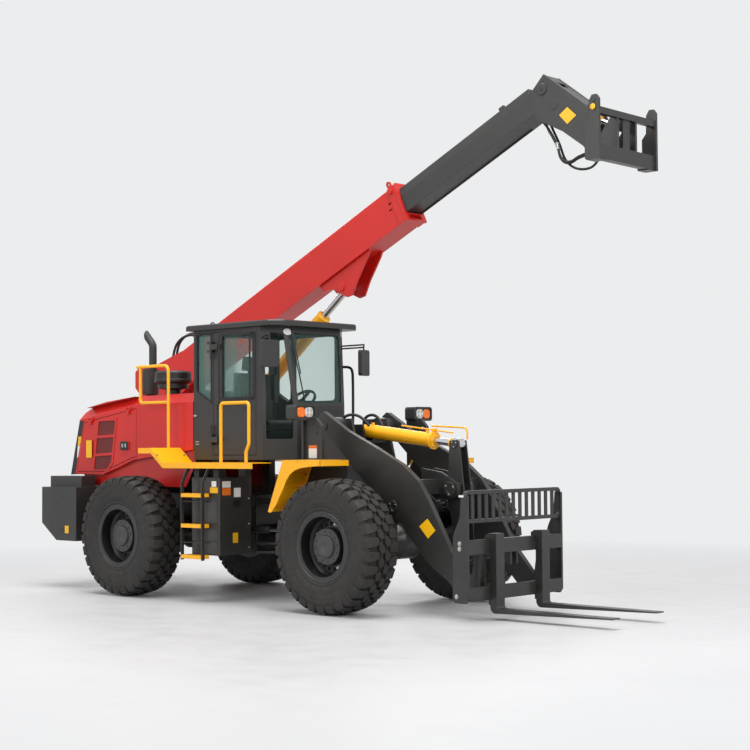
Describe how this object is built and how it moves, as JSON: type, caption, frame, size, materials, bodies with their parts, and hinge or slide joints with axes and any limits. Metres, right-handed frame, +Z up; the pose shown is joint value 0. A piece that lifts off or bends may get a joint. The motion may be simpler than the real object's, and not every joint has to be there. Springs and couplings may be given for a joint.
{
  "type": "wheel loader with telescopic handler boom",
  "caption": "Articulated wheel loader with pallet forks in front and a long telescopic handler boom mounted on its left side, parked with the boom raised.",
  "frame": {"origin": "on the floor, under the middle of the bounding box", "axes": "+X forward along the forks, +Y to the machine's left, +Z up"},
  "size_m": [8.16, 2.6326, 5.499],
  "materials": {
    "bare_steel": "satin",
    "black_plastic": "matt",
    "cab_glass": "tinted, clear",
    "cast_iron": "rough casting, painted",
    "chrome": "polished",
    "dark_grey_paint": "satin paint on steel",
    "dark_steel": "satin paint on steel",
    "red_paint": "gloss paint on steel",
    "tyre_rubber": "vulcanised, chunky tread",
    "yellow_paint": "gloss paint on steel"
  },
  "bodies": {
    "rear_frame": {"rear_frame": "dark_grey_paint", "counterweight": "dark_grey_paint", "hood": "red_paint", "rear_grille": "black_plastic", "engine_block": "cast_iron", "transmission": "cast_iron", "rear_axle": "dark_grey_paint", "rear_shafts": "cast_iron", "platforms": "yellow_paint", "tanks": "dark_grey_paint", "ladder": "dark_grey_paint", "ladder_treads": "yellow_paint", "handrails": "yellow_paint", "cab_shell": "dark_grey_paint", "cab_glass": "cab_glass", "mirrors": "black_plastic", "cab_roof": "dark_grey_paint", "seat": "black_plastic", "console": "black_plastic", "exhaust": "bare_steel", "air_cleaner": "black_plastic", "boom_pedestal": "red_paint"},
    "front_frame": {"front_frame": "dark_grey_paint", "front_axle": "dark_grey_paint", "front_shaft": "cast_iron", "front_fenders": "yellow_paint", "headlamps": "dark_grey_paint"},
    "cab_door": {"cab_door": "dark_grey_paint", "door_glass": "cab_glass"},
    "hood_door": {"hood_door": "red_paint"},
    "boom_outer": {"boom_outer": "red_paint"},
    "boom_inner": {"boom_inner": "dark_grey_paint"},
    "boom_carrier": {"boom_carrier": "dark_grey_paint"},
    "boom_lift_barrel": {"boom_lift_barrel": "yellow_paint"},
    "boom_lift_rod": {"boom_lift_rod": "chrome"},
    "head_tilt_barrel": {"head_tilt_barrel": "yellow_paint"},
    "head_tilt_rod": {"head_tilt_rod": "chrome"},
    "tilt_barrel": {"tilt_barrel": "yellow_paint"},
    "tilt_rod": {"tilt_rod": "chrome", "tilt_gauge": "yellow_paint"},
    "lift_barrels": {"lift_barrels": "yellow_paint"},
    "lift_rods": {"lift_rods": "chrome"},
    "steer_barrel_left": {"steer_barrel_left": "yellow_paint"},
    "steer_barrel_right": {"steer_barrel_right": "yellow_paint"},
    "steer_rod_left": {"steer_rod_left": "chrome"},
    "steer_rod_right": {"steer_rod_right": "chrome"},
    "loader_arms": {"loader_arms": "dark_grey_paint"},
    "bell_crank": {"bell_crank": "dark_grey_paint"},
    "tilt_link": {"tilt_link": "dark_grey_paint"},
    "fork_carriage": {"fork_carriage": "dark_grey_paint", "forks": "dark_grey_paint"},
    "wheel_front_left": {"tyre_front_left": "tyre_rubber", "rim_front_left": "dark_steel"},
    "wheel_front_right": {"tyre_front_right": "tyre_rubber", "rim_front_right": "dark_steel"},
    "wheel_rear_left": {"tyre_rear_left": "tyre_rubber", "rim_rear_left": "dark_steel"},
    "wheel_rear_right": {"tyre_rear_right": "tyre_rubber", "rim_rear_right": "dark_steel"}
  },
  "joints": [
    {"name": "articulation", "type": "hinge", "parent": "rear_frame", "child": "front_frame", "pos_m": [-0.4365, -0.09275, 0.8], "axis": [0, 0, 1], "range_deg": [-35, 35]},
    {"name": "wheel_rear_left", "type": "hinge", "parent": "rear_frame", "child": "wheel_rear_left", "pos_m": [-2.05, 0.90425, 0.675], "axis": [0, 1, 0], "continuous": true},
    {"name": "wheel_rear_right", "type": "hinge", "parent": "rear_frame", "child": "wheel_rear_right", "pos_m": [-2.05, -1.08975, 0.675], "axis": [0, 1, 0], "continuous": true},
    {"name": "wheel_front_left", "type": "hinge", "parent": "front_frame", "child": "wheel_front_left", "pos_m": [1.177, 0.90425, 0.675], "axis": [0, 1, 0], "continuous": true},
    {"name": "wheel_front_right", "type": "hinge", "parent": "front_frame", "child": "wheel_front_right", "pos_m": [1.177, -1.08975, 0.675], "axis": [0, 1, 0], "continuous": true},
    {"name": "door", "type": "hinge", "parent": "rear_frame", "child": "cab_door", "pos_m": [-1.05, -0.76075, 2.26], "axis": [0, 0, -1], "range_deg": [0, 90]},
    {"name": "hood_door", "type": "hinge", "parent": "rear_frame", "child": "hood_door", "pos_m": [-2.90534, -0.74475, 2.04756], "axis": [-0.9883, 0, -0.1526], "range_deg": [0, 75]},
    {"name": "loader_lift", "type": "hinge", "parent": "front_frame", "child": "loader_arms", "pos_m": [0.57, -0.09275, 1.88], "axis": [0, -1, 0], "range_deg": [0, 78]},
    {"name": "fork_tilt", "type": "hinge", "parent": "loader_arms", "child": "fork_carriage", "pos_m": [2.51, -0.09275, 0.235], "axis": [0, 1, 0], "range_deg": [-15, 45]},
    {"name": "crank", "type": "hinge", "parent": "loader_arms", "child": "bell_crank", "pos_m": [1.95, -0.09275, 1.23], "axis": [0, -1, 0], "range_deg": [-8, 23.7]},
    {"name": "link", "type": "hinge", "parent": "bell_crank", "child": "tilt_link", "pos_m": [2.048, -0.09275, 0.537], "axis": [0, -1, 0], "range_deg": [-43, 14.4]},
    {"name": "tilt_barrel", "type": "hinge", "parent": "front_frame", "child": "tilt_barrel", "pos_m": [0.62, -0.09275, 1.84], "axis": [0, -1, 0], "range_deg": [-0.1, 79.2]},
    {"name": "tilt_rod", "type": "slide", "parent": "tilt_barrel", "child": "tilt_rod", "axis": [0.9932, 0, -0.1165], "range_m": [-0.179, 0.061]},
    {"name": "lift_barrels", "type": "hinge", "parent": "front_frame", "child": "lift_barrels", "pos_m": [0.15, -0.09275, 0.85], "axis": [0, -1, 0], "range_deg": [-0.1, 43.1]},
    {"name": "lift_rods", "type": "slide", "parent": "lift_barrels", "child": "lift_rods", "axis": [0.9884, 0, 0.1518], "range_m": [-0.001, 0.897]},
    {"name": "boom_lift", "type": "hinge", "parent": "rear_frame", "child": "boom_outer", "pos_m": [-3.91, 0.78725, 2.5], "axis": [0, -1, 0], "range_deg": [-15, 30]},
    {"name": "boom_lift_barrel", "type": "hinge", "parent": "rear_frame", "child": "boom_lift_barrel", "pos_m": [-2.75, 0.78725, 1.67], "axis": [0, -1, 0], "range_deg": [-16, 31.9]},
    {"name": "boom_lift_rod", "type": "slide", "parent": "boom_lift_barrel", "child": "boom_lift_rod", "axis": [0.7877, 0, 0.616], "range_m": [-0.36, 0.718]},
    {"name": "boom_extend", "type": "slide", "parent": "boom_outer", "child": "boom_inner", "axis": [0.9063, 0, 0.4226], "range_m": [-1.9, 0.8]},
    {"name": "head_tilt", "type": "hinge", "parent": "boom_inner", "child": "boom_carrier", "pos_m": [3.17, 0.78725, 4.62], "axis": [0, 1, 0], "range_deg": [-25, 60]},
    {"name": "head_tilt_barrel", "type": "hinge", "parent": "boom_inner", "child": "head_tilt_barrel", "pos_m": [2.65, 0.78725, 5.16], "axis": [0, -1, 0], "range_deg": [-7.4, 3.2]},
    {"name": "head_tilt_rod", "type": "slide", "parent": "head_tilt_barrel", "child": "head_tilt_rod", "axis": [0.9149, 0, -0.4036], "range_m": [-0.108, 0.258]},
    {"name": "steer_barrel_left", "type": "hinge", "parent": "rear_frame", "child": "steer_barrel_left", "pos_m": [-0.9965, 0.33725, 0.76], "axis": [0, 0, 1], "range_deg": [-11.6, 11.6]},
    {"name": "steer_rod_left", "type": "slide", "parent": "steer_barrel_left", "child": "steer_rod_left", "axis": [0.9984, -0.0561, 0], "range_m": [-0.24, 0.24]},
    {"name": "steer_barrel_right", "type": "hinge", "parent": "rear_frame", "child": "steer_barrel_right", "pos_m": [-0.9965, -0.52275, 0.76], "axis": [0, 0, 1], "range_deg": [-11.6, 11.6]},
    {"name": "steer_rod_right", "type": "slide", "parent": "steer_barrel_right", "child": "steer_rod_right", "axis": [0.9984, 0.0561, 0], "range_m": [-0.24, 0.24]}
  ],
  "couplings": [
    {"joint": "boom_lift_barrel", "follows": "boom_lift", "ratio": 1.06},
    {"joint": "boom_lift_rod", "follows": "boom_lift", "m_per_rad": 1.3676},
    {"joint": "head_tilt_barrel", "follows": "head_tilt", "ratio": -0.12132},
    {"joint": "head_tilt_rod", "follows": "head_tilt", "m_per_rad": 0.24515},
    {"joint": "lift_barrels", "follows": "loader_lift", "ratio": 0.5511},
    {"joint": "lift_rods", "follows": "loader_lift", "m_per_rad": 0.6578},
    {"joint": "steer_barrel_left", "follows": "articulation", "ratio": 0.32781},
    {"joint": "steer_rod_left", "follows": "articulation", "m_per_rad": -0.38976},
    {"joint": "steer_barrel_right", "follows": "articulation", "ratio": 0.32781},
    {"joint": "steer_rod_right", "follows": "articulation", "m_per_rad": 0.38976},
    {"joint": "crank", "follows": "fork_tilt", "ratio": 0.52256},
    {"joint": "link", "follows": "fork_tilt", "ratio": -0.95126},
    {"joint": "tilt_rod", "follows": "fork_tilt", "m_per_rad": -0.2259},
    {"joint": "tilt_barrel", "follows": "loader_lift", "ratio": 1.0136}
  ]
}
